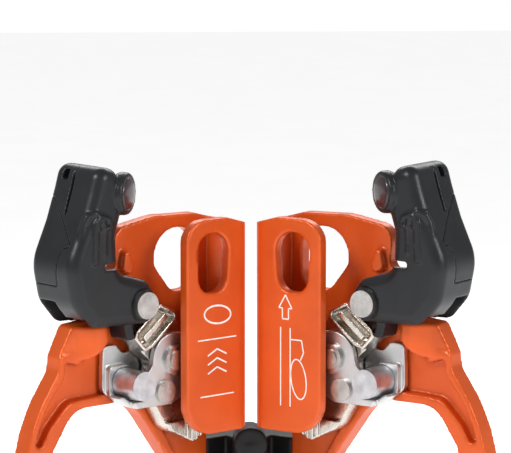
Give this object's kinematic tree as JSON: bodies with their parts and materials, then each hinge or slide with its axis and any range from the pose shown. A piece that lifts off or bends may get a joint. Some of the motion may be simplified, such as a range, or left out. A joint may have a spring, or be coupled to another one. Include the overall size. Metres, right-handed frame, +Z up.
{
  "type": "twin handled rope ascender",
  "caption": "Pair of mirrored handled rope ascenders bolted to a centre bridge, with toothed cams and release levers.",
  "frame": {"origin": "centre of the lanyard eye in the centre bridge", "axes": "+Z up along the ropes, +X to the user's right, the user stands at -Y"},
  "size_m": [0.1622, 0.0706, 0.2076],
  "materials": {
    "orange_alloy": "satin orange anodised",
    "black_rubber": "matt moulded rubber",
    "cast_steel": "cast stainless steel, tumbled bright",
    "satin_steel": "satin bent steel",
    "turned_steel": "turned, with concentric tool marks",
    "polished_steel": "polished steel",
    "spring_steel": "spring wire",
    "dark_steel": "blackened steel",
    "lever_plastic": "fine textured moulded plastic",
    "lever_skin": "soft moulded skin",
    "gloss_pad": "glossy moulded plastic",
    "black_bridge": "matt glass-filled plastic"
  },
  "bodies": {
    "base": {"bridge": "black_bridge", "bridge_nuts": "dark_steel", "bridge_screws": "dark_steel", "eye_bush": "turned_steel", "left_bracket_post": "polished_steel", "left_bracket_stud": "turned_steel", "left_cam_axle": "turned_steel", "left_cam_bracket": "satin_steel", "left_cam_spring": "spring_steel", "left_frame": "orange_alloy", "left_grip": "black_rubber", "left_lever_spring": "spring_steel", "right_bracket_post": "polished_steel", "right_bracket_stud": "turned_steel", "right_cam_axle": "turned_steel", "right_cam_bracket": "satin_steel", "right_cam_spring": "spring_steel", "right_frame": "orange_alloy", "right_grip": "black_rubber", "right_lever_spring": "spring_steel"},
    "right_cam_body": {"right_cam": "cast_steel"},
    "right_lever_arm": {"right_lever": "lever_plastic", "right_lever_skin": "lever_skin", "right_thumb_pad": "gloss_pad", "right_lever_pin": "turned_steel"},
    "left_cam_body": {"left_cam": "cast_steel"},
    "left_lever_arm": {"left_lever": "lever_plastic", "left_lever_skin": "lever_skin", "left_thumb_pad": "gloss_pad", "left_lever_pin": "turned_steel"}
  },
  "joints": [
    {"name": "right_cam_swing", "type": "hinge", "parent": "base", "child": "right_cam_body", "pos_m": [0.02901, -0.03028, 0.128], "axis": [-0.6157, -0.788, 0], "range_deg": [-8, 20], "stiffness_Nm_per_rad": 0.15},
    {"name": "right_lever_swing", "type": "hinge", "parent": "base", "child": "right_lever_arm", "pos_m": [0.04268, -0.03715, 0.1479], "axis": [0.6157, 0.788, 0], "range_deg": [-6.5, 16.1]},
    {"name": "left_cam_swing", "type": "hinge", "parent": "base", "child": "left_cam_body", "pos_m": [-0.02901, -0.03028, 0.128], "axis": [-0.6157, 0.788, 0], "range_deg": [-8, 20], "stiffness_Nm_per_rad": 0.15},
    {"name": "left_lever_swing", "type": "hinge", "parent": "base", "child": "left_lever_arm", "pos_m": [-0.04268, -0.03715, 0.1479], "axis": [0.6157, -0.788, 0], "range_deg": [-6.5, 16.1]}
  ],
  "couplings": [
    {"joint": "right_lever_swing", "follows": "right_cam_swing", "ratio": 0.8},
    {"joint": "left_lever_swing", "follows": "left_cam_swing", "ratio": 0.8}
  ]
}
